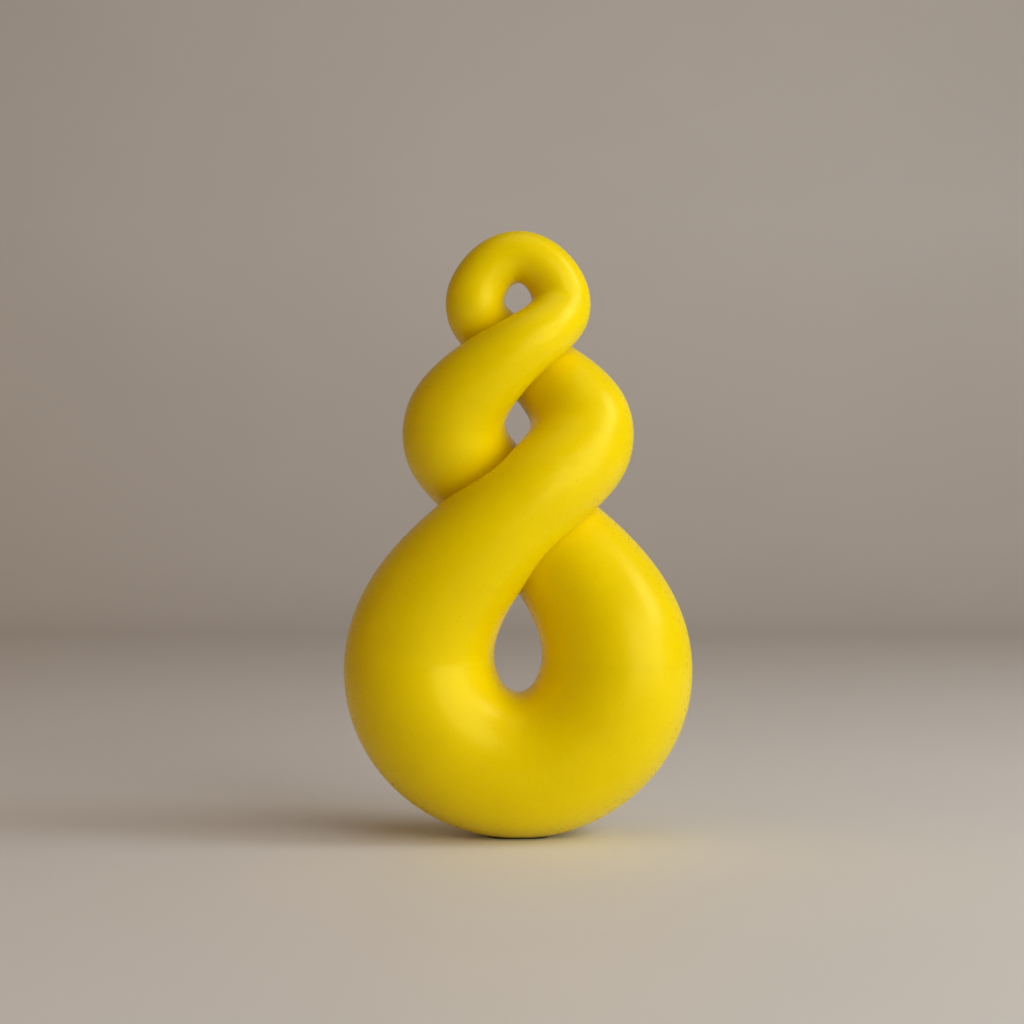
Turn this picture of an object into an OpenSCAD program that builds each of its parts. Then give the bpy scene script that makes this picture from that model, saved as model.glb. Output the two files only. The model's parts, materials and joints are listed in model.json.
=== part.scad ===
// Twisted loop puzzle: a tapering round tube, closed into a loop that makes one full turn about its own
// upright axis. Six hollow links turn on five upright swivels, and a magnetic clasp opens the loop.
//
// The loop stands on its bottom bend. Strand A rises from the bottom bend's left end, passes in front of
// strand B at the lower crossing and behind it at the upper crossing. Strand B is strand A turned half way
// round about the upright axis. Places along a strand are counted in quarter turns: 0 is the middle of the
// bottom bend, 1, 3 and 5 are the widest places, 2 and 4 are the crossings and 6 is the middle of the top
// bend.

/* [Heights of the tube's centreline] */
// Middle of the bottom bend
bottom_z = 18.9; // [18.6:0.1:19.2]
// Widest place of the bottom lobe, where the base swivels sit
base_seam_z = 45.6; // [45:0.1:47]
// Lower crossing
lower_crossing_z = 86.4; // [85:0.1:88]
// Widest place of the middle lobe, where the middle swivel and the clasp sit
middle_seam_z = 107.2; // [106:0.1:108]
// Upper crossing
upper_crossing_z = 128.4; // [128:0.1:129.5]
// Widest place of the top lobe, where the top swivels sit
top_seam_z = 141.1; // [140:0.1:142]
// Middle of the top bend
top_z = 153.5; // [153:0.1:155]

/* [Reach of the centreline from the upright axis] */
// At the bottom lobe
base_reach = 26.1; // [25.5:0.1:28]
// At the middle lobe
middle_reach = 17.5; // [17.2:0.1:19]
// At the top lobe
top_reach = 11.7; // [11.6:0.1:13]
// Forwards or backwards at the lower crossing
lower_crossing_reach = 8.5; // [8:0.25:10]
// Forwards or backwards at the upper crossing
upper_crossing_reach = 8; // [7.5:0.25:9]

/* [Radius of the tube] */
// Middle of the bottom bend
bottom_r = 19.3; // [19:0.1:19.6]
// Widest place of the bottom lobe
base_r = 20; // [19.5:0.1:20.4]
// Lower crossing
lower_crossing_r = 13.9; // [13:0.1:14.5]
// Widest place of the middle lobe
middle_r = 13.3; // [12.5:0.1:13.5]
// Upper crossing
upper_crossing_r = 8.8; // [8.4:0.1:9]
// Widest place of the top lobe
top_seam_r = 7.6; // [7.4:0.1:7.9]
// Middle of the top bend
top_r = 6.9; // [6.7:0.1:7.2]

/* [Shells and fits] */
// Wall of the half shells
wall = 1.6; // [1.2:0.1:1.8]
// Gap between two links at a swivel or the clasp
seam_gap = 0.2; // [0.1:0.05:0.3]
// Gap between two strands where they cross
crossing_gap = 0.7; // [0.6:0.1:0.8]
// Radial clearance of a swivel pin in the link that turns on it
running_clearance = 0.05; // [0.02:0.01:0.1]
// Depth of the wear rings' seats below a link's end
ring_seat = 0.6; // [0.4:0.1:0.8]

/* [Base] */
// Thickness of the foot pad
foot_t = 0.4; // [0.3:0.1:0.6]
// Width of the foot pad, front to back
foot_w = 10; // [8:0.5:11]
// Length of the foot pad, side to side
foot_len = 16; // [12:0.5:17]
// Radius of the ballast weight
ballast_r = 9; // [7:0.5:10]
// Length of the ballast weight
ballast_len = 24; // [18:1:26]

/* [Hidden] */

// Colours
shell_colour = "gold";
plug_colour = "goldenrod";
steel_colour = "silver";
ring_colour = "whitesmoke";
foot_colour = "dimgray";

// Values at the seven quarter-turn stations of a strand
STATION_Z = [bottom_z, base_seam_z, lower_crossing_z, middle_seam_z, upper_crossing_z, top_seam_z, top_z];
STATION_R = [bottom_r, base_r, lower_crossing_r, middle_r, upper_crossing_r, top_seam_r, top_r];
LAST = 6;

// Places along a strand, in quarter turns
BASE_SEAM = 1;
LOWER_CROSSING = 2;
MIDDLE_SEAM = 3;
TOP_SEAM = 5;
LOWER = [BASE_SEAM, MIDDLE_SEAM];
UPPER = [MIDDLE_SEAM, TOP_SEAM];
LEFT = -1;
RIGHT = 1;
REAR = 0;
FRONT = 1;
BELOW = -1;
ABOVE = 1;

// Fineness of the shells
half_sides = 10;      // flats round half a tube
ring_count = 36;      // sections along one link
ring_bunching = 0.5;  // spacing of those sections at the crossing, as a share of even spacing
bend_rings = 19;      // sections along a bend
ball_step = 0.05;     // quarter turns between the balls that a tube is the envelope of
ball_margin = 0.6;    // quarter turns by which those balls run past a link's ends
seam_blend = 9;       // height over which a link's round end turns into its free shape
edge_round = 1.2;     // rounding where a strand is pressed flat against the other
relax_steps = 30;     // steps that settle the slopes of a curve
depth_power = 1.5;    // a lower power keeps a strand at its crossing's depth for longer

// Proportions of a swivel, as shares of the tube's radius there
pin_share = 0.15;
head_share = 0.3;
head_t_share = 0.09;
plug_t_share = 0.15;
ring_out_share = 0.6;
ring_in_share = 0.2;
coil_share = 0.23;
wire_share = 0.026;
coil_pitch_share = 0.062;
coils = 4;
washer_share = 0.3;
washer_t_share = 0.04;
nut_share = 0.28;
nut_t_share = 0.16;
tip_share = 0.03;
magnet_share = 0.4;
magnet_t_share = 0.15;
pocket_floor = 1;     // plug behind a magnet
part_gap = 0.02;      // gap between small parts that lie against each other
plug_fit = 0.4;       // glue gap between a plug and the shell's wall, at the seam
plug_draft = 0.05;    // loss of a plug's radius per unit of height away from the seam
steep_fit = 0.9;      // the same two where the tube leans and thins fast, just above the middle seam
steep_draft = 0.55;

SWIVEL_SIDES = 48;

// ---- curves ----

// Slopes of the smooth curve through values v, flat at both ends, settled in n steps from slopes m
function slopes(v, m, n) = n == 0 ? m : slopes(v, [for (i = [0 : LAST])
    i == 0 || i == LAST ? 0 : (3 * (v[i + 1] - v[i - 1]) - m[i - 1] - m[i + 1]) / 4], n - 1);
function flat_slopes() = [for (i = [0 : LAST]) 0];
Z_SLOPES = slopes(STATION_Z, flat_slopes(), relax_steps);
R_SLOPES = slopes(STATION_R, flat_slopes(), relax_steps);

// Cubic piece between stations i and i + 1, at share u
function cubic(v, m, i, u) =
    (2 * u ^ 3 - 3 * u ^ 2 + 1) * v[i] + (u ^ 3 - 2 * u ^ 2 + u) * m[i]
    + (3 * u ^ 2 - 2 * u ^ 3) * v[i + 1] + (u ^ 3 - u ^ 2) * m[i + 1];
function curve(v, m, s) = cubic(v, m, min(floor(s), LAST - 1), s - min(floor(s), LAST - 1));

// Past either end of strand A the loop goes on as strand B, which has the same heights and radii
function folded(s) = s < 0 ? -s : s > LAST ? 2 * LAST - s : s;

function ease(u) = let (w = max(0, min(1, u))) w ^ 3 * (10 - 15 * w + 6 * w ^ 2);

function reach(s) = base_reach + (middle_reach - base_reach) * ease((s - BASE_SEAM) / 2)
    + (top_reach - middle_reach) * ease((s - MIDDLE_SEAM) / 2);
function crossing_reach(s) = lower_crossing_reach
    + (upper_crossing_reach - lower_crossing_reach) * ease((s - LOWER_CROSSING) / 2);
function depth(s) = s <= BASE_SEAM || s >= TOP_SEAM ? 0
    : crossing_reach(s) * sign(cos(90 * s)) * abs(cos(90 * s)) ^ depth_power;

function centre(s) = [-reach(folded(s)) * sin(90 * s), depth(s), curve(STATION_Z, Z_SLOPES, folded(s))];
function tube_r(s) = curve(STATION_R, R_SLOPES, folded(s));

// ---- sections ----

// Angles of one half of a section: half 0 is the rear half, half 1 the front half
function half_angles(half) = [for (i = [0 : half_sides]) 180 * half + 180 * i / half_sides];

// Section of a bend in the plane through the bend's own level axis, from front to back at height hub_z. It
// is drawn inwards by inset and kept between two heights.
function bend_half(s, half, inset, hub_z, low, high) =
    let (
        step = 0.001,
        mid = centre(s),
        run = centre(s + step) - centre(s - step),
        square = cross([0, 1, 0], run / norm(run)),
        arm = [0, 0, hub_z] - mid,
        side = arm / norm(arm),
        r = tube_r(s) - inset
    )
    [for (a = half_angles(half))
        let (p = mid + r * (cos(a) / (side * square) * side + [0, sin(a), 0]))
        [p.x, p.y, min(high, max(low, p.z))]];

// Distance from point p, at p's own height, along direction d to where it leaves the balls
function exit_of_ball(p, d, c, r) =
    let (
        cut = r ^ 2 - (p.z - c.z) ^ 2,
        off = [c.x - p.x, c.y - p.y],
        ahead = off * d,
        inside = cut - off * off + ahead ^ 2
    )
    cut <= 0 || inside < 0 ? 0 : ahead + sqrt(inside);
function exit(p, d, balls, inset) = max([for (b = balls) exit_of_ball(p, d, b[0], b[1] - inset)]);

// Distance along direction d to the plane, through the upright axis, that parts the two strands
function plane_exit(p, d, inset) =
    let (
        out = norm([p.x, p.y]),
        towards = -(d * [p.x, p.y]) / out
    )
    towards <= 0.001 ? 1000 : (out - crossing_gap / 2 - inset) / towards;

// Smaller of two lengths, rounded where they meet
function round_min(a, b, k) = let (h = max(k - abs(a - b), 0)) min(a, b) - h ^ 2 / (4 * k);

// The balls that shape the tube between places from and to
function balls(from, to) =
    [for (s = [from - ball_margin : ball_step : to + ball_margin]) [centre(s), tube_r(s)]];

// Level section of the free tube at place s and height z, pressed flat at the parting plane
function free_half(s, z, half, inset, balls) =
    let (p = [centre(s).x, centre(s).y, z])
    [for (a = half_angles(half))
        let (d = [cos(a), sin(a)])
        [p.x, p.y] + d * round_min(exit(p, d, balls, inset), plane_exit(p, d, inset), edge_round)];

// Steps from the free tube's section at a seam to the seam's own circle
function seam_steps(seam, half, inset, balls) =
    let (
        free = free_half(seam, STATION_Z[seam], half, inset, balls),
        angles = half_angles(half),
        hub = [centre(seam).x, centre(seam).y],
        r = STATION_R[seam] - inset
    )
    [for (i = [0 : half_sides]) hub + r * [cos(angles[i]), sin(angles[i])] - free[i]];

// Level sections of a link of strand A at the given places and heights. Each end is its seam's circle.
function link_half(places, heights, half, inset, balls, seams) =
    let (steps = [for (seam = seams) seam_steps(seam, half, inset, balls)])
    [for (k = [0 : len(places) - 1])
        let (
            z = heights[k],
            free = free_half(places[k], z, half, inset, balls),
            shares = [for (seam = seams) 1 - ease(abs(z - STATION_Z[seam]) / seam_blend)]
        )
        [for (i = [0 : half_sides])
            let (level = free[i] + shares[0] * steps[0][i] + shares[1] * steps[1][i])
            [level.x, level.y, z]]];

// ---- half shell from a list of sections, each an outer and an inner half outline ----
module skin(outer, inner) {
    rings = len(outer);
    side = len(outer[0]);
    around = 2 * side;
    points = [for (k = [0 : rings - 1]) each concat(outer[k], [for (i = [side - 1 : -1 : 0]) inner[k][i]])];
    walls = [for (k = [0 : rings - 2]) for (i = [0 : around - 1])
        let (
            a = k * around + i,
            b = k * around + (i + 1) % around,
            // the same diagonal on both halves, where they meet
            flip = i >= side
        )
        each flip ? [[a, b + around, b], [a, a + around, b + around]]
                  : [[a, a + around, b], [b, a + around, b + around]]];
    last = (rings - 1) * around;
    caps = [for (i = [0 : side - 2])
        each [
            [i, i + 1, around - 2 - i, around - 1 - i],
            [last + i, last + around - 1 - i, last + around - 2 - i, last + i + 1],
        ]];
    polyhedron(points = points, faces = concat(walls, caps), convexity = 6);
}

// Half shell of the bend that starts at place from, with its seams at height hub_z. It is kept between two
// heights, with a flat floor of thickness floor_t.
module bend_shell(from, half, hub_z, low, floor_t, high) {
    places = [for (k = [0 : bend_rings - 1]) from + 2 * k / (bend_rings - 1)];
    color(shell_colour) skin(
        [for (s = places) bend_half(s, half, 0, hub_z, low, high)],
        [for (s = places) bend_half(s, half, wall, hub_z, low + floor_t, high)]);
}

// Shares -1 to 1 of the way from a crossing to the seams beside it, bunched towards the crossing
function bunched(t) = ring_bunching * t + (1 - ring_bunching) * t ^ 3;

// Half shell of a link of strand A between two seams
module link_shell(seams, half) {
    places = [for (k = [0 : ring_count - 1]) seams[0] + 1 + bunched(2 * k / (ring_count - 1) - 1)];
    low = STATION_Z[seams[0]] + seam_gap / 2;
    high = STATION_Z[seams[1]] - seam_gap / 2;
    tube = balls(seams[0], seams[1]);
    heights = [for (s = places) min(high, max(low, centre(s).z))];
    color(shell_colour) skin(
        link_half(places, heights, half, 0, tube, seams),
        link_half(places, heights, half, wall, tube, seams));
}
module strand_b() { rotate([0, 0, 180]) children(); }

// ---- small parts at a seam: each is drawn about the seam's own upright axis ----

// Moves its children to a seam's left end (side -1) or right end (side 1)
module at_seam(seam, side) {
    translate([side * reach(seam), 0, STATION_Z[seam]]) children();
}
module ring(outer, inner, low, high) {
    translate([0, 0, low]) difference() {
        cylinder(r = outer, h = high - low, $fn = SWIVEL_SIDES);
        translate([0, 0, -1]) cylinder(r = inner, h = high - low + 2, $fn = SWIVEL_SIDES);
    }
}
function steep(seam, up) = seam == MIDDLE_SEAM && up == ABOVE;
// Radius of a plug at height h from its seam, on the side up
function plug_r(seam, up, h) = (STATION_R[seam] - wall) * cos(90 / half_sides)
    - (steep(seam, up) ? steep_fit + steep_draft * h : plug_fit + plug_draft * h);
function pin_r(seam) = pin_share * STATION_R[seam];
// Top of each piece on a swivel pin, measured up from the seam
function plug_top(seam) = ring_seat + plug_t_share * STATION_R[seam];
function spring_top(seam) = plug_top(seam)
    + ((coils - 1) * coil_pitch_share + 2 * wire_share) * STATION_R[seam] + 2 * part_gap;
function washer_top(seam) = spring_top(seam) + washer_t_share * STATION_R[seam];
function nut_top(seam) = washer_top(seam) + part_gap + nut_t_share * STATION_R[seam];
function pin_top(seam) = nut_top(seam) + tip_share * STATION_R[seam];

// End plug on one side of a seam, between heights low and high from it, bored from the seam's side
module end_plug(seam, side, up, low, high, bore_r, bore_depth) {
    color(plug_colour) at_seam(seam, side) mirror([0, 0, up == BELOW ? 1 : 0])
        translate([0, 0, low]) difference() {
            cylinder(r1 = plug_r(seam, up, low), r2 = plug_r(seam, up, high), h = high - low,
                $fn = SWIVEL_SIDES);
            translate([0, 0, -1]) cylinder(r = bore_r, h = bore_depth + 1, $fn = SWIVEL_SIDES);
        }
}
// End plug of the link below a swivel, which holds the pin
module lower_plug(seam, side) {
    end_plug(seam, side, BELOW, ring_seat, plug_top(seam), pin_r(seam) + part_gap, plug_top(seam));
}
// End plug of the link above a swivel, which turns on the pin
module upper_plug(seam, side) {
    end_plug(seam, side, ABOVE, ring_seat, plug_top(seam), pin_r(seam) + running_clearance, plug_top(seam));
}
// End plug at the clasp, with a pocket for its magnet
module clasp_plug(up) {
    r = STATION_R[MIDDLE_SEAM];
    face = seam_gap / 2;
    end_plug(MIDDLE_SEAM, LEFT, up, face, face + magnet_t_share * r + pocket_floor,
        magnet_share * r + part_gap, magnet_t_share * r + part_gap);
}
module clasp_magnet(up) {
    r = STATION_R[MIDDLE_SEAM];
    color(steel_colour) at_seam(MIDDLE_SEAM, LEFT) mirror([0, 0, up == BELOW ? 1 : 0])
        translate([0, 0, seam_gap / 2]) cylinder(r = magnet_share * r, h = magnet_t_share * r,
            $fn = SWIVEL_SIDES);
}
// Headed pin, fixed in the plug below
module swivel_pin(seam, side) {
    r = STATION_R[seam];
    head_top = -plug_top(seam) - part_gap;
    color(steel_colour) at_seam(seam, side) union() {
        translate([0, 0, head_top - head_t_share * r])
            cylinder(r = head_share * r, h = head_t_share * r, $fn = SWIVEL_SIDES);
        translate([0, 0, head_top - head_t_share * r / 2])
            cylinder(r = pin_r(seam), h = pin_top(seam) - head_top + head_t_share * r / 2,
                $fn = SWIVEL_SIDES);
    }
}
// Low-friction ring that the upper plug slides on
module wear_ring(seam, side) {
    r = STATION_R[seam];
    color(ring_colour) at_seam(seam, side)
        ring(ring_out_share * r, ring_in_share * r, -ring_seat, ring_seat - part_gap);
}
// Spring that keeps the links pressed together, drawn as its coils
module swivel_spring(seam, side) {
    r = STATION_R[seam];
    color(steel_colour) at_seam(seam, side) for (k = [0 : coils - 1])
        translate([0, 0, plug_top(seam) + part_gap + (wire_share + k * coil_pitch_share) * r])
            rotate_extrude($fn = SWIVEL_SIDES) translate([coil_share * r, 0])
                circle(r = wire_share * r, $fn = 16);
}
module swivel_washer(seam, side) {
    r = STATION_R[seam];
    color(steel_colour) at_seam(seam, side)
        ring(washer_share * r, pin_r(seam) + part_gap, spring_top(seam), washer_top(seam));
}
module swivel_nut(seam, side) {
    r = STATION_R[seam];
    color(steel_colour) at_seam(seam, side) translate([0, 0, washer_top(seam) + part_gap]) difference() {
        cylinder(r = nut_share * r, h = nut_t_share * r, $fn = 6);
        translate([0, 0, -1])
            cylinder(r = pin_r(seam) + part_gap, h = nut_t_share * r + 2, $fn = SWIVEL_SIDES);
    }
}

// ---- base ----
module base_shell(half) {
    bend_shell(-BASE_SEAM, half, base_seam_z, foot_t, wall, base_seam_z - seam_gap / 2);
}
module ballast_weight() {
    lift = 2.4;
    color(steel_colour) translate([-ballast_len / 2, 0, wall + foot_t + lift + ballast_r])
        rotate([0, 90, 0]) cylinder(r = ballast_r, h = ballast_len, $fn = SWIVEL_SIDES);
}
module foot_pad() {
    straight = foot_len - foot_w;
    color(foot_colour) linear_extrude(foot_t) union() {
        square([straight, foot_w], center = true);
        for (end = [-1, 1]) translate([end * straight / 2, 0]) circle(r = foot_w / 2, $fn = SWIVEL_SIDES);
    }
}

// ---- top bend ----
module top_shell(half) {
    clear_of_top = 2 * top_z;
    bend_shell(TOP_SEAM, half, top_seam_z, top_seam_z + seam_gap / 2, 0, clear_of_top);
}

base_shell(FRONT);  // base_front_shell
base_shell(REAR);  // base_rear_shell
lower_plug(BASE_SEAM, LEFT);  // base_left_plug
lower_plug(BASE_SEAM, RIGHT);  // base_right_plug
ballast_weight();
foot_pad();
link_shell(LOWER, FRONT);  // lower_front_link_front_shell
link_shell(LOWER, REAR);  // lower_front_link_rear_shell
upper_plug(BASE_SEAM, LEFT);  // lower_front_link_bottom_plug
lower_plug(MIDDLE_SEAM, RIGHT);  // lower_front_link_top_plug
strand_b() link_shell(LOWER, REAR);  // lower_rear_link_front_shell
strand_b() link_shell(LOWER, FRONT);  // lower_rear_link_rear_shell
upper_plug(BASE_SEAM, RIGHT);  // lower_rear_link_bottom_plug
clasp_plug(BELOW);  // lower_rear_link_top_plug
link_shell(UPPER, FRONT);  // upper_rear_link_front_shell
link_shell(UPPER, REAR);  // upper_rear_link_rear_shell
upper_plug(MIDDLE_SEAM, RIGHT);  // upper_rear_link_bottom_plug
lower_plug(TOP_SEAM, LEFT);  // upper_rear_link_top_plug
strand_b() link_shell(UPPER, REAR);  // upper_front_link_front_shell
strand_b() link_shell(UPPER, FRONT);  // upper_front_link_rear_shell
clasp_plug(ABOVE);  // upper_front_link_bottom_plug
lower_plug(TOP_SEAM, RIGHT);  // upper_front_link_top_plug
top_shell(FRONT);  // top_bend_front_shell
top_shell(REAR);  // top_bend_rear_shell
upper_plug(TOP_SEAM, LEFT);  // top_bend_left_plug
upper_plug(TOP_SEAM, RIGHT);  // top_bend_right_plug
swivel_pin(BASE_SEAM, LEFT);  // left_base_pin
wear_ring(BASE_SEAM, LEFT);  // left_base_wear_ring
swivel_spring(BASE_SEAM, LEFT);  // left_base_spring
swivel_washer(BASE_SEAM, LEFT);  // left_base_washer
swivel_nut(BASE_SEAM, LEFT);  // left_base_nut
swivel_pin(BASE_SEAM, RIGHT);  // right_base_pin
wear_ring(BASE_SEAM, RIGHT);  // right_base_wear_ring
swivel_spring(BASE_SEAM, RIGHT);  // right_base_spring
swivel_washer(BASE_SEAM, RIGHT);  // right_base_washer
swivel_nut(BASE_SEAM, RIGHT);  // right_base_nut
swivel_pin(MIDDLE_SEAM, RIGHT);  // middle_pin
wear_ring(MIDDLE_SEAM, RIGHT);  // middle_wear_ring
swivel_spring(MIDDLE_SEAM, RIGHT);  // middle_spring
swivel_washer(MIDDLE_SEAM, RIGHT);  // middle_washer
swivel_nut(MIDDLE_SEAM, RIGHT);  // middle_nut
swivel_pin(TOP_SEAM, LEFT);  // left_top_pin
wear_ring(TOP_SEAM, LEFT);  // left_top_wear_ring
swivel_spring(TOP_SEAM, LEFT);  // left_top_spring
swivel_washer(TOP_SEAM, LEFT);  // left_top_washer
swivel_nut(TOP_SEAM, LEFT);  // left_top_nut
swivel_pin(TOP_SEAM, RIGHT);  // right_top_pin
wear_ring(TOP_SEAM, RIGHT);  // right_top_wear_ring
swivel_spring(TOP_SEAM, RIGHT);  // right_top_spring
swivel_washer(TOP_SEAM, RIGHT);  // right_top_washer
swivel_nut(TOP_SEAM, RIGHT);  // right_top_nut
clasp_magnet(BELOW);  // lower_clasp_magnet
clasp_magnet(ABOVE);  // upper_clasp_magnet
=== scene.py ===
"""Twisted loop puzzle: shells, swivel hardware, materials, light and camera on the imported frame.

A strand is followed in quarter turns: 0 is the middle of the bottom bend, 1, 3 and 5 are the swivel
seams, 2 and 4 are the crossings and 6 is the middle of the top bend. Strand B is strand A turned
half way round the upright axis.
"""
import json
import math
import bmesh
import bpy
import numpy as np
from mathutils import Matrix, Vector

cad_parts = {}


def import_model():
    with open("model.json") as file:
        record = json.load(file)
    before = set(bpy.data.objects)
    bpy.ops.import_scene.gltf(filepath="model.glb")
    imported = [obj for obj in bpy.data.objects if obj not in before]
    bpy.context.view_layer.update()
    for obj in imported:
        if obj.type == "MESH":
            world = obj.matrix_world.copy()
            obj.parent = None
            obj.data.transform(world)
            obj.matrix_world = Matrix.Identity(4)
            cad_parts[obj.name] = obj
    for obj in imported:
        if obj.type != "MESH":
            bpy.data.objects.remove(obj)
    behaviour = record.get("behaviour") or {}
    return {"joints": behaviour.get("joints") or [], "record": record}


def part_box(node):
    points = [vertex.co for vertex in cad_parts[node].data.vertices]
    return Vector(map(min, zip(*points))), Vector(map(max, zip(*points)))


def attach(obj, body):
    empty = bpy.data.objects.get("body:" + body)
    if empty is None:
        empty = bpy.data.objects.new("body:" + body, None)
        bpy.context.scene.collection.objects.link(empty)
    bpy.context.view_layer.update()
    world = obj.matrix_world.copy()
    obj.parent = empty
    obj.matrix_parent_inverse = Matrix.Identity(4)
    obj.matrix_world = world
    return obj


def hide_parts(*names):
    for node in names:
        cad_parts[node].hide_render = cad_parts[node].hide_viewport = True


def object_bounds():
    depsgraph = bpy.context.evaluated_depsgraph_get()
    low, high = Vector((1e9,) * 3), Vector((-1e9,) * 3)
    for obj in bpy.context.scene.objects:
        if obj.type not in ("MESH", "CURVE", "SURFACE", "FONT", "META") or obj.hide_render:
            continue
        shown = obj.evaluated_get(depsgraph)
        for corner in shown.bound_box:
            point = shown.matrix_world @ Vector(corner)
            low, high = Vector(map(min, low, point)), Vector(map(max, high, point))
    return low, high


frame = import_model()
cad_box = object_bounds()

MM = 0.001

# ---- driving dimensions --------------------------------------------------------------------------
# Seams and reaches come from the frame's joints; the rest are the tube's own sizes.
JOINTS = {j["name"]: j for j in frame["joints"]}
BASE_REACH, _, BASE_Z = (abs(v) for v in JOINTS["left_base_swivel"]["pos_m"])
MIDDLE_REACH, _, MIDDLE_Z = (abs(v) for v in JOINTS["middle_swivel"]["pos_m"])
TOP_REACH, _, TOP_Z = (abs(v) for v in JOINTS["left_top_swivel"]["pos_m"])
LOWER_CROSSING_REACH = 8.5 * MM
UPPER_CROSSING_REACH = 8 * MM
DEPTH_POWER = 1.5
# Heights of the centreline and radii of the tube at places 0 to 6.
STATION_Z = np.array([18.9 * MM, BASE_Z, 86.4 * MM, MIDDLE_Z, 128.4 * MM, TOP_Z, 153.5 * MM])
STATION_R = np.array([19.3, 20, 13.9, 13.3, 8.8, 7.6, 6.9]) * MM
LAST = 6
BASE_SEAM, LOWER_CROSSING, MIDDLE_SEAM, TOP_SEAM = 1, 2, 3, 5
WALL = 1.6 * MM
SEAM_GAP = 0.004 * MM
SEAM_BLEND = 9 * MM
FILLET_SHARE = 0.2       # softening of a tight turn, as a share of the tube's radius
FILLET_REACH = 1.05      # height over which it fades beside a seam, as a share of the radius there
CROSSING_GAP = 0.3 * MM
EDGE_ROUND = 1.2 * MM
FOOT_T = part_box("foot_pad")[1].z

HALF_SIDES = 48
ANGLES = np.linspace(0, 2 * math.pi, 2 * HALF_SIDES, endpoint=False)
DIRECTIONS = np.stack([np.cos(ANGLES), np.sin(ANGLES)], -1)
LINK_RINGS = 120
BEND_RINGS = 121

# Steps and spans below without a length are places along a strand, in quarter turns.
PLACE_STEP = 1e-4
FINE_PLACES = 4000       # places among which the one at a height is looked up
BALL_STEP = 0.01
BALL_MARGIN = 0.6
STACK_STEP = 0.3 * MM
STACK_BEFORE = 0.3       # the outside is stacked from this far before the base seam
STACK_AFTER = 0.5        # and up to this far past the top seam
LEAST_TOWARDS = 0.001    # rays that run less straight towards the parting plane count as missing it
FAR = 1.0                # a length beyond the whole object
SMALLEST = 1e-12         # keeps a normal of no length from dividing by nothing


# ---- the tube ------------------------------------------------------------------------------------
def slopes(values):
    """Slopes of the smooth curve through the stations' values, flat at both ends."""
    n = len(values)
    rows = np.eye(n)
    right = np.zeros(n)
    for i in range(1, n - 1):
        rows[i, i - 1:i + 2] = 1, 4, 1
        right[i] = 3 * (values[i + 1] - values[i - 1])
    return np.linalg.solve(rows, right)


Z_SLOPES = slopes(STATION_Z)
R_SLOPES = slopes(STATION_R)


def curve(values, slope, s):
    i = np.minimum(np.floor(s).astype(int), LAST - 1)
    u = s - i
    return ((2 * u**3 - 3 * u**2 + 1) * values[i] + (u**3 - 2 * u**2 + u) * slope[i]
            + (3 * u**2 - 2 * u**3) * values[i + 1] + (u**3 - u**2) * slope[i + 1])


def ease(u):
    w = np.clip(u, 0, 1)
    return w**3 * (10 - 15 * w + 6 * w * w)


def folded(s):
    """Past either end of strand A the loop goes on as strand B, at the same heights and radii."""
    return np.where(s < 0, -s, np.where(s > LAST, 2 * LAST - s, s))


def centre(s):
    s = np.asarray(s, float)
    f = folded(s)
    reach = (BASE_REACH + (MIDDLE_REACH - BASE_REACH) * ease((f - BASE_SEAM) / 2)
             + (TOP_REACH - MIDDLE_REACH) * ease((f - MIDDLE_SEAM) / 2))
    turn = s * math.pi / 2
    crossing = (LOWER_CROSSING_REACH
                + (UPPER_CROSSING_REACH - LOWER_CROSSING_REACH) * ease((s - LOWER_CROSSING) / 2))
    swing = np.sign(np.cos(turn)) * np.abs(np.cos(turn))**DEPTH_POWER
    depth = np.where((s > BASE_SEAM) & (s < TOP_SEAM), crossing * swing, 0)
    return np.stack([-reach * np.sin(turn), depth, curve(STATION_Z, Z_SLOPES, f)], -1)


def tube_r(s):
    return curve(STATION_R, R_SLOPES, folded(np.asarray(s, float)))


def bend_sections(start, inset, hub_z, low, high):
    """Closed sections of the bend that starts at place start, each in the plane through the bend's
    own level axis at height hub_z, kept between two heights: array [place, angle, xyz]."""
    places = np.linspace(start, start + 2, BEND_RINGS)
    mid = centre(places)
    along = centre(places + PLACE_STEP) - centre(places - PLACE_STEP)
    square = np.cross([0, 1, 0], along / np.linalg.norm(along, axis=1, keepdims=True))
    side = np.array([0, 0, hub_z]) - mid
    side /= np.linalg.norm(side, axis=1, keepdims=True)
    lean = (side * square).sum(1)[:, None]
    ring = (np.cos(ANGLES)[None, :, None] * (side / lean)[:, None]
            + np.sin(ANGLES)[None, :, None] * np.array([0, 1, 0]))
    points = mid[:, None] + (tube_r(places) - inset)[:, None, None] * ring
    points[..., 2] = np.clip(points[..., 2], low, high)
    return points


def round_min(a, b, k):
    """The smaller of a and b, with the change from one to the other rounded over k."""
    h = np.maximum(k - np.abs(a - b), 0)
    return np.minimum(a, b) - h * h / (4 * k)


def free_section(s, z, inset, ball_c, ball_r):
    """Level section of the tube: where rays from the centreline leave the tube's balls, or the
    plane through the upright axis that parts the two strands."""
    p = centre(s)[:2]
    cut = ball_r**2 - (z - ball_c[:, 2])**2
    level_balls = cut > 0
    off = ball_c[level_balls, :2] - p
    ahead = DIRECTIONS @ off.T
    inside = cut[level_balls] - (off**2).sum(1) + ahead**2
    ball_exit = np.where(inside < 0, 0, ahead + np.sqrt(np.maximum(inside, 0))).max(1)
    distance = np.linalg.norm(p)
    towards = -(DIRECTIONS @ p) / distance
    to_plane = (distance - CROSSING_GAP / 2 - inset) / np.maximum(towards, LEAST_TOWARDS)
    plane_exit = np.where(towards <= LEAST_TOWARDS, FAR, to_plane)
    return p + round_min(ball_exit, plane_exit, EDGE_ROUND)[:, None] * DIRECTIONS


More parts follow.
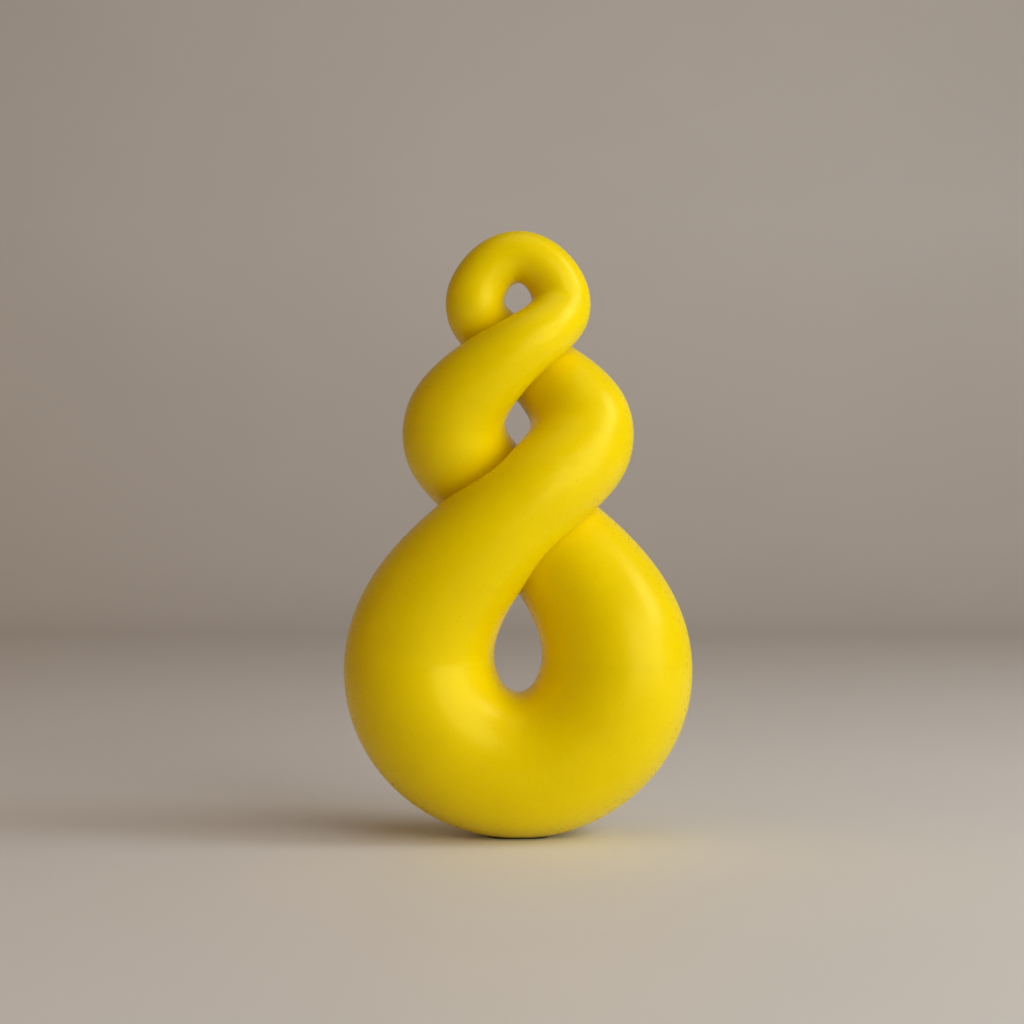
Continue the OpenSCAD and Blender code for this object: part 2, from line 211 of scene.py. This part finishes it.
def circle_at(seam, inset):
    """A seam's own circle, in plan."""
    return centre(seam)[:2] + (STATION_R[seam] - inset) * DIRECTIONS


def free_stack(inset, start, end, margin=BALL_MARGIN):
    """Heights, places and free level sections of strand A from start to end. The balls begin a
    margin before start."""
    ball_s = np.arange(start - margin, end + BALL_MARGIN, BALL_STEP)
    ball_c, ball_r = centre(ball_s), tube_r(ball_s) - inset
    fine_s = np.linspace(start, end, FINE_PLACES)
    fine_z = centre(fine_s)[:, 2]
    heights = np.arange(fine_z[0], fine_z[-1], STACK_STEP)
    places = np.interp(heights, fine_z, fine_s)
    sections = [free_section(s, z, inset, ball_c, ball_r) for s, z in zip(places, heights)]
    return heights, places, np.array(sections)


def filleted_stack():
    """Outside of strand A. Beside the middle and top seams its tight inner turns are softened."""
    heights, places, free = free_stack(0, BASE_SEAM - STACK_BEFORE, TOP_SEAM + STACK_AFTER)
    spread = FILLET_SHARE * tube_r(places)[:, None]
    weights = np.exp(-((heights[None] - heights[:, None]) / spread) ** 2 / 2)
    weights /= weights.sum(1, keepdims=True)
    soft = np.einsum("kj,jic->kic", weights, free)
    share = sum(1 - ease(np.abs(heights - STATION_Z[q]) / (FILLET_REACH * STATION_R[q]))
                for q in (MIDDLE_SEAM, TOP_SEAM))
    return heights, free + (soft - free) * share[:, None, None]


def at_heights(stack, wanted):
    """Sections of a stack at the wanted heights."""
    heights, sections = stack
    position = np.interp(wanted, heights, np.arange(len(heights)))
    low = np.minimum(position.astype(int), len(heights) - 2)
    share = (position - low)[:, None, None]
    return sections[low] * (1 - share) + sections[low + 1] * share


OUTSIDE = filleted_stack()


def link_sections(heights, inset, seams):
    """Level sections of a link of strand A. Its inside becomes each seam's own circle at the ends;
    its outside does so only at the base seam, where the tube runs straight."""
    if inset:
        (levels, _, sections), round_seams = free_stack(inset, *seams), seams
        stack = np.append(levels, STATION_Z[seams[1]]), np.concatenate([sections, sections[-1:]])
    else:
        stack, round_seams = OUTSIDE, [q for q in seams if q == BASE_SEAM]
    level = at_heights(stack, heights)
    for q in round_seams:
        step = circle_at(q, inset) - at_heights(stack, STATION_Z[q:q + 1])[0]
        nearness = 1 - ease(np.abs(heights - STATION_Z[q]) / SEAM_BLEND)
        level = level + step * nearness[:, None, None]
    upright = np.broadcast_to(heights[:, None, None], level.shape[:2] + (1,))
    return np.concatenate([level, upright], 2)


def normals_of(grid):
    """Unit normals over a grid of sections whose angles run all the way round and close."""
    along = np.gradient(grid, axis=0, edge_order=2)
    around = (np.roll(grid, -1, 1) - np.roll(grid, 1, 1)) / 2
    n = np.cross(around, along)
    return n / np.maximum(np.linalg.norm(n, axis=2, keepdims=True), SMALLEST)


# ---- meshes --------------------------------------------------------------------------------------
def new_object(name, verts, faces, material, smooth=True):
    mesh = bpy.data.meshes.new(name)
    mesh.from_pydata([tuple(v) for v in verts], [], faces)
    mesh.update()
    if smooth:
        mesh.shade_smooth()
    obj = bpy.data.objects.new(name, mesh)
    bpy.context.scene.collection.objects.link(obj)
    obj.data.materials.append(material)
    return obj


def place(obj, body, *nodes, slot_name):
    """obj rides on a body and stands for CAD nodes."""
    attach(obj, body)
    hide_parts(*nodes)


def half_shell(name, outer, inner, outer_n, inner_n, turned):
    """Closed half shell from grids of outer and inner half outlines, with its true smooth normals.
    turned swings it half way round the upright axis, as strand B is to strand A."""
    rings, side = outer.shape[:2]
    grid = np.concatenate([outer, inner[:, ::-1]], axis=1)
    normal = np.concatenate([outer_n, -inner_n[:, ::-1]], axis=1)
    verts = grid.reshape(-1, 3)
    if turned:
        verts = verts * [-1, -1, 1]
        normal = normal * [-1, -1, 1]
    normal = normal.reshape(-1, 3)
    around = 2 * side
    faces, normal_from = [], []
    for k in range(rings - 1):
        for i in range(around):
            j = (i + 1) % around
            a, b = k * around + i, k * around + j
            face = (a, b, b + around, a + around)
            faces.append(face)
            wall_edge = i in (side - 1, around - 1)
            normal_from.append(None if wall_edge else face)
    for k, flip in ((0, False), (rings - 1, True)):
        for i in range(side - 1):
            a = k * around
            face = (a + i, a + around - 1 - i, a + around - 2 - i, a + i + 1)
            faces.append(face[::-1] if flip else face)
            normal_from.append(None)
    obj = new_object(name, verts, faces, YELLOW)
    mesh = obj.data
    custom = np.zeros((len(mesh.loops), 3))
    for poly, source in zip(mesh.polygons, normal_from):
        for loop in poly.loop_indices:
            custom[loop] = poly.normal if source is None else normal[mesh.loops[loop].vertex_index]
    mesh.normals_split_custom_set(custom.tolist())
    return obj


def halves(full):
    """The rear and front half outlines out of sections that go all the way round."""
    rear = full[:, :HALF_SIDES + 1]
    front = np.concatenate([full[:, HALF_SIDES:], full[:, :1]], axis=1)
    return rear, front


def shells(link, sections, turned=False):
    """The front and rear half shells of one link. sections(inset) gives its closed sections."""
    outer, inner = sections(0), sections(WALL)
    outer_n, inner_n = normals_of(outer), normals_of(inner)
    parts = zip(("rear", "front"), halves(outer), halves(inner), halves(outer_n), halves(inner_n))
    for side, *grids in parts:
        if turned:
            side = {"rear": "front", "front": "rear"}[side]
        name = f"{link}_{side}_shell"
        place(half_shell(name + "_skin", *grids, turned), link, name, slot_name="yellow_shell")


def base_sections(inset):
    return bend_sections(-BASE_SEAM, inset, BASE_Z, FOOT_T + inset, BASE_Z - SEAM_GAP / 2)


def top_sections(inset):
    """The top bend. Its outside carries on the softening of strand A on its left side, and that of
    strand B, turned half way round, on its right side."""
    sections = bend_sections(TOP_SEAM, inset, TOP_Z, TOP_Z + SEAM_GAP / 2, FAR)
    if inset:
        return sections
    rise = np.arange(0, FILLET_REACH * STATION_R[TOP_SEAM], STACK_STEP)
    heights, _, plain = free_stack(0, TOP_SEAM, TOP_SEAM + STACK_AFTER, margin=0)
    fillet = at_heights(OUTSIDE, TOP_Z + rise) - at_heights((heights, plain), TOP_Z + rise)
    fillet *= (1 - ease(rise / rise[-1]))[:, None, None]
    level = np.clip((sections[..., 2] - TOP_Z) / STACK_STEP, 0, len(rise) - 1.001)
    low, i = level.astype(int), np.arange(len(ANGLES))[None, :]
    share = (level - low)[..., None]
    left = fillet[low, i] * (1 - share) + fillet[low + 1, i] * share
    right = -(fillet[low, -i] * (1 - share) + fillet[low + 1, -i] * share)
    on_left = (np.arange(BEND_RINGS) < BEND_RINGS / 2)[:, None, None]
    sections[..., :2] += np.where(on_left, left, right)
    return sections


def strand_sections(*seams):
    def sections(inset):
        places = np.linspace(*seams, LINK_RINGS)
        low, high = STATION_Z[seams[0]] + SEAM_GAP / 2, STATION_Z[seams[1]] - SEAM_GAP / 2
        return link_sections(np.clip(centre(places)[:, 2], low, high), inset, seams)
    return sections


def lathe(name, profile, hub, material, sides=64, closed=True):
    """Solid turned about an upright axis at hub. profile is a list of (radius, height), where a
    radius may be a function of the angle. A closed profile is a ring, an open one a full body."""
    angles = np.linspace(0, 2 * math.pi, sides, endpoint=False)
    rings = []
    for radius, z in profile:
        r = np.array([radius(a) if callable(radius) else radius for a in angles])
        rings.append(np.column_stack([hub[0] + r * np.cos(angles), hub[1] + r * np.sin(angles),
                                      np.full(sides, z)]))
    verts = np.concatenate(rings)
    faces = []
    pairs = [(k, k + 1) for k in range(len(rings) - 1)] + ([(len(rings) - 1, 0)] if closed else [])
    for a, b in pairs:
        for i in range(sides):
            j = (i + 1) % sides
            faces.append((a * sides + i, a * sides + j, b * sides + j, b * sides + i))
    if not closed:
        faces.append(tuple(reversed(range(sides))))
        faces.append(tuple((len(rings) - 1) * sides + i for i in range(sides)))
    obj = new_object(name, verts, faces, material, smooth=False)
    tidy_mesh(obj)
    return obj


def tidy_mesh(obj, sharp=math.radians(35)):
    """Faces outwards, smooth shading and sharp edges where the surface turns."""
    bm = bmesh.new()
    bm.from_mesh(obj.data)
    bmesh.ops.recalc_face_normals(bm, faces=bm.faces)
    for face in bm.faces:
        face.smooth = True
    for edge in bm.edges:
        edge.smooth = not (edge.is_manifold and edge.calc_face_angle(0) > sharp)
    bm.to_mesh(obj.data)
    bm.free()


def ring_profile(inner, low_r, high_r, low, high, chamfer):
    """Chamfered ring, whose outside is a cone from radius low_r at the bottom to high_r above."""
    return [(inner + chamfer, low), (low_r - chamfer, low), (low_r, low + chamfer),
            (high_r, high - chamfer), (high_r - chamfer, high), (inner + chamfer, high),
            (inner, high - chamfer), (inner, low + chamfer)]


# ---- materials -----------------------------------------------------------------------------------
class Nodes:
    """A material's node tree, written as short calls."""

    def __init__(self, name, **shader):
        self.material = bpy.data.materials.new(name)
        self.material.use_nodes = True
        self.tree = self.material.node_tree
        self.shader = self.tree.nodes["Principled BSDF"]
        for key, value in shader.items():
            self.shader.inputs[key.replace("_", " ")].default_value = value
        self.where = self.add("ShaderNodeTexCoord").outputs["Object"]

    def add(self, kind, inputs=(), **settings):
        node = self.tree.nodes.new(kind)
        for key, value in settings.items():
            setattr(node, key, value)
        for key, value in dict(inputs).items():
            if isinstance(value, bpy.types.NodeSocket):
                self.tree.links.new(value, node.inputs[key])
            else:
                node.inputs[key].default_value = value
        return node

    def noise(self, scale, detail=4.0, roughness=0.6, where=None):
        inputs = {"Vector": where or self.where, "Scale": scale, "Detail": detail,
                  "Roughness": roughness}
        return self.add("ShaderNodeTexNoise", inputs).outputs["Fac"]

    def spread(self, value, low, high, to_low=0.0, to_high=1.0):
        inputs = {"Value": value, "From Min": low, "From Max": high, "To Min": to_low,
                  "To Max": to_high}
        return self.add("ShaderNodeMapRange", inputs).outputs["Result"]

    def mix(self, factor, a, b):
        node = self.add("ShaderNodeMix", data_type="RGBA")
        for socket, value in zip((node.inputs[0], node.inputs[6], node.inputs[7]), (factor, a, b)):
            if isinstance(value, bpy.types.NodeSocket):
                self.tree.links.new(value, socket)
            else:
                socket.default_value = value
        return node.outputs[2]

    def math(self, operation, a, b=0.0):
        node = self.add("ShaderNodeMath", operation=operation)
        for socket, value in zip(node.inputs, (a, b)):
            if isinstance(value, bpy.types.NodeSocket):
                self.tree.links.new(value, socket)
            else:
                socket.default_value = value
        return node.outputs[0]

    def stretched(self, scale, turn):
        inputs = {"Vector": self.where, "Rotation": turn, "Scale": scale}
        return self.add("ShaderNodeMapping", inputs).outputs["Vector"]

    def to(self, socket, value):
        self.tree.links.new(value, self.shader.inputs[socket])

    def bump(self, height, distance, strength=1.0):
        inputs = {"Height": height, "Distance": distance, "Strength": strength}
        self.to("Normal", self.add("ShaderNodeBump", inputs).outputs["Normal"])


def yellow_plastic():
    """Glossy moulded plastic: slightly cloudy, with a few specks and worn hairlines in the gloss."""
    m = Nodes("yellow_plastic", IOR=1.46, Specular_IOR_Level=0.4, Specular_Tint=(1.0, 1.0, 0.25, 1),
              Subsurface_Weight=0.12, Subsurface_Scale=0.004, Subsurface_Radius=(1.0, 0.5, 0.02))
    cloud = m.spread(m.noise(45, 3), 0.35, 0.65)
    colour = m.mix(cloud, (0.860, 0.650, 0.000, 1), (0.900, 0.690, 0.000, 1))
    dots = m.add("ShaderNodeTexVoronoi", {"Vector": m.where, "Scale": 130.0}).outputs["Distance"]
    speck = m.spread(dots, 0.035, 0.05, 1, 0)
    colour = m.mix(m.math("MULTIPLY", speck, 0.15), colour, (0.36, 0.24, 0.0, 1))
    m.to("Base Color", colour)
    scratch = m.noise(260, 2, 0.4, m.stretched((0.05, 1, 0.6), (0.3, 0.5, 0.9)))
    hairline = m.spread(scratch, 0.70, 0.74)
    haze = m.spread(m.noise(900, 2), 0.3, 0.7, 0.26, 0.33)
    m.to("Roughness", m.math("ADD", haze, m.math("MULTIPLY", hairline, 0.18)))
    m.bump(m.noise(60, 2), 0.00003, 0.3)
    return m.material


def satin_plastic(name, colour, worn):
    m = Nodes(name, IOR=1.48)
    grain = m.noise(700, 3)
    m.to("Base Color", m.mix(m.spread(m.noise(60, 3), 0.3, 0.7), (*worn, 1), (*colour, 1)))
    m.to("Roughness", m.spread(grain, 0.3, 0.7, 0.38, 0.55))
    m.bump(grain, 0.00002, 0.4)
    return m.material


def turned_steel(name, colour, dark, roughness):
    """Metal with fine rings from turning and a little mottle."""
    m = Nodes(name, Metallic=1.0)
    rings = m.noise(3000, 2, 0.5, m.stretched((0.02, 0.02, 1), (0, 0, 0)))
    m.to("Base Color", m.mix(m.spread(m.noise(150, 3), 0.3, 0.7), (*dark, 1), (*colour, 1)))
    m.to("Roughness", m.spread(rings, 0.3, 0.7, roughness - 0.08, roughness + 0.08))
    m.bump(rings, 0.00001, 0.5)
    return m.material


def rubber():
    m = Nodes("foot_rubber", IOR=1.5)
    grain = m.noise(1500, 3)
    mottle = m.spread(grain, 0.3, 0.7)
    m.to("Base Color", m.mix(mottle, (0.030, 0.026, 0.008, 1), (0.055, 0.048, 0.016, 1)))
    m.to("Roughness", m.spread(grain, 0.3, 0.7, 0.75, 0.9))
    m.bump(grain, 0.00005, 0.6)
    return m.material


YELLOW = yellow_plastic()
PLUG = satin_plastic("plug_plastic", (0.62, 0.43, 0.01), (0.55, 0.37, 0.01))
RING = satin_plastic("ring_plastic", (0.80, 0.79, 0.74), (0.72, 0.70, 0.64))
STEEL = turned_steel("zinc_steel", (0.62, 0.62, 0.64), (0.50, 0.50, 0.52), 0.30)
SPRING = turned_steel("spring_wire", (0.48, 0.48, 0.50), (0.38, 0.38, 0.40), 0.34)
NICKEL = turned_steel("nickel", (0.74, 0.72, 0.68), (0.66, 0.64, 0.60), 0.16)
BAR = turned_steel("sawn_bar", (0.20, 0.20, 0.21), (0.12, 0.11, 0.11), 0.50)
RUBBER = rubber()


# ---- the yellow shells ---------------------------------------------------------------------------
LOWER, UPPER = strand_sections(BASE_SEAM, MIDDLE_SEAM), strand_sections(MIDDLE_SEAM, TOP_SEAM)
shells("base", base_sections)
shells("lower_front_link", LOWER)
shells("lower_rear_link", LOWER, turned=True)
shells("upper_rear_link", UPPER)
shells("upper_front_link", UPPER, turned=True)
shells("top_bend", top_sections)


# ---- swivel hardware -----------------------------------------------------------------------------
# Shares are of the tube's radius at the swivel's seam.
PIN_SHARE = 0.15
HEAD_SHARE = 0.09
HEAD_CHAMFER = 0.02
THREAD_LENGTH, THREAD_PITCH, THREAD_DEPTH = 0.25, 0.03, 0.008
NUT_CHAMFER = 0.025
NUT_FACE = 0.9           # radius of a nut's end faces, as a share of its corners' radius
WIRE_SHARE = 0.026
WIRE_SLACK = 0.98
RING_BORE = 0.2
EDGE_SHARE = 0.015
BORE_PLAY, LOOSE_PLAY = 0.02 * MM, 0.05 * MM
AXIS_R = 0.001 * MM      # stands for the axis in an open profile
STEEP_PLUGS = ("upper_rear_link_bottom_plug", "upper_front_link_bottom_plug")
STEEP_DRAFT, DRAFT = 0.55, 0.05


def plug_draft(node):
    """Loss of a plug's radius per unit of height away from its seam, as in the frame."""
    return STEEP_DRAFT if node in STEEP_PLUGS else DRAFT


def measures(node):
    """Hub, radius, lowest and highest height of a round node."""
    low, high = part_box(node)
    return ((low + high) / 2)[:2], (high.x - low.x) / 2, low.z, high.z


def body_of_node(node):
    bodies = frame["record"]["behaviour"]["bodies"]
    return next(body for body, nodes in bodies.items() if node in nodes)


def ring_piece(node, inner, material, slot_name, chamfer):
    """Chamfered ring over a round CAD node."""
    hub, outer, low, high = measures(node)
    profile = ring_profile(inner, outer, outer, low, high, chamfer)
    obj = lathe(node + "_turned", profile, hub, material)
    place(obj, body_of_node(node), node, slot_name=slot_name)


def plug_piece(node, inner, up, chamfer):
    """End plug, tapered away from its seam. up is 1 where the link is above the seam."""
    hub, near, low, high = measures(node)
    far = near - plug_draft(node) * (high - low)
    low_r, high_r = (near, far) if up > 0 else (far, near)
    profile = ring_profile(inner, low_r, high_r, low, high, chamfer)
    obj = lathe(node + "_moulded", profile, hub, PLUG)
    place(obj, body_of_node(node), node, slot_name="end_plug")


def pin_piece(node, tube):
    """Headed pin with a chamfered head, a bevel under it and a threaded end."""
    hub, head_r, low, high = measures(node)
    shank = PIN_SHARE * tube
    head_top = low + HEAD_SHARE * tube
    chamfer, pitch, depth = HEAD_CHAMFER * tube, THREAD_PITCH * tube, THREAD_DEPTH * tube
    z = high - THREAD_LENGTH * tube
    profile = [(AXIS_R, low), (head_r - chamfer, low), (head_r, low + chamfer),
               (head_r, head_top - chamfer), (head_r - chamfer, head_top),
               (shank + chamfer, head_top), (shank, head_top + chamfer), (shank, z)]
    while z + pitch < high - chamfer:
        profile += [(shank - depth, z + pitch / 2), (shank, z + pitch)]
        z += pitch
    profile += [(shank, high - chamfer), (shank - chamfer, high), (AXIS_R, high)]
    obj = lathe(node + "_turned", profile, hub, STEEL, closed=False)
    place(obj, body_of_node(node), node, slot_name="swivel_steel")


def nut_piece(node, tube):
    """Hexagon nut with chamfered corners."""
    hub, corner, low, high = measures(node)
    sixth = math.pi / 3

    def hexagon(limit):
        return lambda a: min(limit, corner * math.cos(sixth / 2) / math.cos(a % sixth - sixth / 2))

    bore, step = PIN_SHARE * tube + BORE_PLAY, NUT_CHAMFER * tube
    face, full = hexagon(NUT_FACE * corner), hexagon(corner)
    profile = [(bore + step, low), (face, low), (full, low + step), (full, high - step),
               (face, high), (bore + step, high), (bore, high - step), (bore, low + step)]
    obj = lathe(node + "_cut", profile, hub, STEEL, sides=96)
    place(obj, body_of_node(node), node, slot_name="swivel_steel")


def spring_piece(node, tube, coils=4, per_turn=40, sides=12, flat=0.35, cut_off=0.1):
    """Wound wire in the height and width of its CAD rings. Its ends lie flat for a part of a turn."""
    hub, outer, low, high = measures(node)
    wire = WIRE_SHARE * tube * WIRE_SLACK
    mean = outer - WIRE_SHARE * tube
    turns = np.linspace(0, coils - cut_off, int(coils * per_turn))
    rise = high - low - 2 * wire
    share = ease((turns - flat) / (coils - cut_off - 2 * flat))
    verts, faces = [], []
    for k, (t, u) in enumerate(zip(turns, share)):
        a = 2 * math.pi * t
        out = np.array([math.cos(a), math.sin(a), 0])
        mid = np.array([hub[0], hub[1], low + wire + rise * u]) + mean * out
        for i in range(sides):
            b = 2 * math.pi * i / sides
            verts.append(mid + wire * (math.cos(b) * out + math.sin(b) * np.array([0, 0, 1])))
            if k:
                j = (i + 1) % sides
                below, here = (k - 1) * sides, k * sides
                faces.append((below + i, below + j, here + j, here + i))
    faces.append(tuple(range(sides)))
    faces.append(tuple(len(verts) - sides + i for i in reversed(range(sides))))
    obj = new_object(node + "_wound", verts, faces, SPRING, smooth=False)
    tidy_mesh(obj, math.radians(60))
    place(obj, body_of_node(node), node, slot_name="spring_steel")


SWIVELS = {"left_base": (BASE_SEAM, "base_left_plug", "lower_front_link_bottom_plug"),
           "right_base": (BASE_SEAM, "base_right_plug", "lower_rear_link_bottom_plug"),
           "middle": (MIDDLE_SEAM, "lower_front_link_top_plug", "upper_rear_link_bottom_plug"),
           "left_top": (TOP_SEAM, "upper_rear_link_top_plug", "top_bend_left_plug"),
           "right_top": (TOP_SEAM, "upper_front_link_top_plug", "top_bend_right_plug")}
for swivel, (seam, lower_plug, upper_plug) in SWIVELS.items():
    tube = float(STATION_R[seam])
    edge, bore = EDGE_SHARE * tube, PIN_SHARE * tube + BORE_PLAY
    pin_piece(f"{swivel}_pin", tube)
    nut_piece(f"{swivel}_nut", tube)
    spring_piece(f"{swivel}_spring", tube)
    ring_piece(f"{swivel}_washer", bore, STEEL, "swivel_steel", edge / 2)
    ring_piece(f"{swivel}_wear_ring", RING_BORE * tube, RING, "wear_ring", edge)
    plug_piece(lower_plug, bore, -1, edge)
    plug_piece(upper_plug, PIN_SHARE * tube + LOOSE_PLAY, 1, edge)


# ---- magnetic clasp ------------------------------------------------------------------------------
def clasp_end(plug, magnet, up):
    """Plug with a pocket, and the disc magnet in it. up is 1 where the link is above the seam."""
    hub, outer, low, high = measures(plug)
    far = outer - plug_draft(plug) * (high - low)
    _, disc, disc_low, disc_high = measures(magnet)
    face, back = (low, high) if up > 0 else (high, low)
    edge, pocket = 0.25 * MM, disc + BORE_PLAY
    floor = (disc_high if up > 0 else disc_low) + up * BORE_PLAY
    profile = [(AXIS_R, back), (far - edge, back), (far, back - up * edge),
               (outer, face + up * edge), (outer - edge, face), (pocket + edge, face),
               (pocket, face + up * edge), (pocket, floor), (AXIS_R, floor)]
    obj = lathe(plug + "_moulded", profile, hub, PLUG, closed=False)
    place(obj, body_of_node(plug), plug, slot_name="end_plug")
    profile = [(AXIS_R, disc_low), (disc - edge, disc_low), (disc, disc_low + edge),
               (disc, disc_high - edge), (disc - edge, disc_high), (AXIS_R, disc_high)]
    obj = lathe(magnet + "_plated", profile, hub, NICKEL, closed=False)
    place(obj, body_of_node(magnet), magnet, slot_name="magnet")


clasp_end("lower_rear_link_top_plug", "lower_clasp_magnet", -1)
clasp_end("upper_front_link_bottom_plug", "upper_clasp_magnet", 1)


# ---- inside and under the base -------------------------------------------------------------------
def ballast():
    """Sawn bar that lies along the bottom bend."""
    low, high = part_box("ballast_weight")
    r, chamfer = (high.z - low.z) / 2, 0.6 * MM
    profile = [(AXIS_R, low.x), (r - chamfer, low.x), (r, low.x + chamfer), (r, high.x - chamfer),
               (r - chamfer, high.x), (AXIS_R, high.x)]
    obj = lathe("ballast_bar", profile, (0, 0), BAR, closed=False)
    obj.data.transform(Matrix.Rotation(math.radians(90), 4, "Y"))
    obj.data.transform(Matrix.Translation((0, 0, (low.z + high.z) / 2)))
    place(obj, "base", "ballast_weight", slot_name="ballast")


def foot():
    """Pad with round ends and a small radius on its lower rim."""
    low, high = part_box("foot_pad")
    end_r, straight = (high.y - low.y) / 2, high.x - low.x - (high.y - low.y)
    rim = 0.12 * MM
    off_square = 1e-6    # keeps the outline's angles off the change from one end to the other
    outline = [(math.copysign(straight / 2, math.cos(a)), math.cos(a), math.sin(a))
               for a in np.linspace(-math.pi / 2, 1.5 * math.pi, 96, endpoint=False) + off_square]
    verts, faces = [], []
    levels = [(rim, low.z), (0.3 * rim, low.z + 0.3 * rim), (0, low.z + rim), (0, high.z)]
    for inset, z in levels:
        verts += [(x + (end_r - inset) * c, (end_r - inset) * s, z) for x, c, s in outline]
    n = len(outline)
    for k in range(len(levels) - 1):
        here, above = k * n, (k + 1) * n
        faces += [(here + i, here + (i + 1) % n, above + (i + 1) % n, above + i) for i in range(n)]
    faces.append(tuple(reversed(range(n))))
    faces.append(tuple((len(levels) - 1) * n + i for i in range(n)))
    obj = new_object("foot_pad_moulded", verts, faces, RUBBER, smooth=False)
    tidy_mesh(obj)
    place(obj, "base", "foot_pad", slot_name="foot")


ballast()
foot()


# ---- studio: floor, light and camera -------------------------------------------------------------
MIDDLE_OF_OBJECT = (cad_box[0][2] + cad_box[1][2]) / 2
SENSOR = 36.0
FRAME_HEIGHT = 0.2714
CAMERA_DISTANCE = 0.53
CAMERA_LENS = SENSOR * CAMERA_DISTANCE / FRAME_HEIGHT
CAMERA_X = -1.6 * MM
CAMERA_Z = 85.9 * MM


def stage_floor():
    """Pale floor that curves up into a backdrop behind the object."""
    half_width, front, back, bend, top = 3.0, -1.5, 0.9, 0.35, 1.6
    quarter = np.linspace(0, math.pi / 2, 24)
    profile = [(front, 0)]
    profile += [(back + bend * math.sin(a), bend - bend * math.cos(a)) for a in quarter]
    profile.append((back + bend, top))
    verts = [(x, y, z) for y, z in profile for x in (-half_width, half_width)]
    faces = [(2 * k, 2 * k + 1, 2 * k + 3, 2 * k + 2) for k in range(len(profile) - 1)]
    m = Nodes("pale_floor", Roughness=0.6)
    m.to("Base Color", m.mix(m.noise(6, 2), (0.74, 0.74, 0.73, 1), (0.79, 0.79, 0.78, 1)))
    new_object("floor", verts, faces, m.material)


def soft_light(name, direction, distance, size, power, colour):
    """Rectangular soft light that faces the middle of the object from a direction."""
    light = bpy.data.lights.new(name, "AREA")
    light.shape = "RECTANGLE"
    light.size, light.size_y = size
    light.energy = power
    light.color = colour
    obj = bpy.data.objects.new(name, light)
    way = Vector(direction).normalized()
    obj.location = Vector((0, 0, MIDDLE_OF_OBJECT)) + way * distance
    obj.rotation_euler = way.to_track_quat("Z", "Y").to_euler()
    bpy.context.scene.collection.objects.link(obj)


def world(colour, strength):
    studio = bpy.data.worlds.new("studio")
    bpy.context.scene.world = studio
    studio.use_nodes = True
    back = studio.node_tree.nodes["Background"]
    back.inputs["Color"].default_value = (*colour, 1)
    back.inputs["Strength"].default_value = strength


def camera():
    """Level camera in front of the object, a little above half its height."""
    data = bpy.data.cameras.new("camera")
    data.lens = CAMERA_LENS
    data.clip_start = 0.01
    obj = bpy.data.objects.new("camera", data)
    obj.location = (CAMERA_X, -CAMERA_DISTANCE, CAMERA_Z)
    obj.rotation_euler = (math.radians(90), 0, 0)
    bpy.context.scene.collection.objects.link(obj)
    bpy.context.scene.camera = obj


stage_floor()
camera()
world((1.0, 0.62, 0.36), 0.14)
soft_light("key", (0.70, -0.65, 0.22), 1.1, (1.1, 1.0), 10.8, (1, 0.985, 0.95))
soft_light("window", (0.75, -0.13, 0.60), 0.9, (0.30, 0.42), 2.0, (1, 1, 0.97))
soft_light("top", (0.1, -0.1, 1), 1.0, (0.8, 0.8), 1.2, (1, 0.98, 0.95))
soft_light("warm_left", (-1, -0.35, 0.15), 1.0, (0.8, 0.8), 1.1, (1, 0.50, 0.20))
bpy.context.scene.view_settings.view_transform = "Standard"
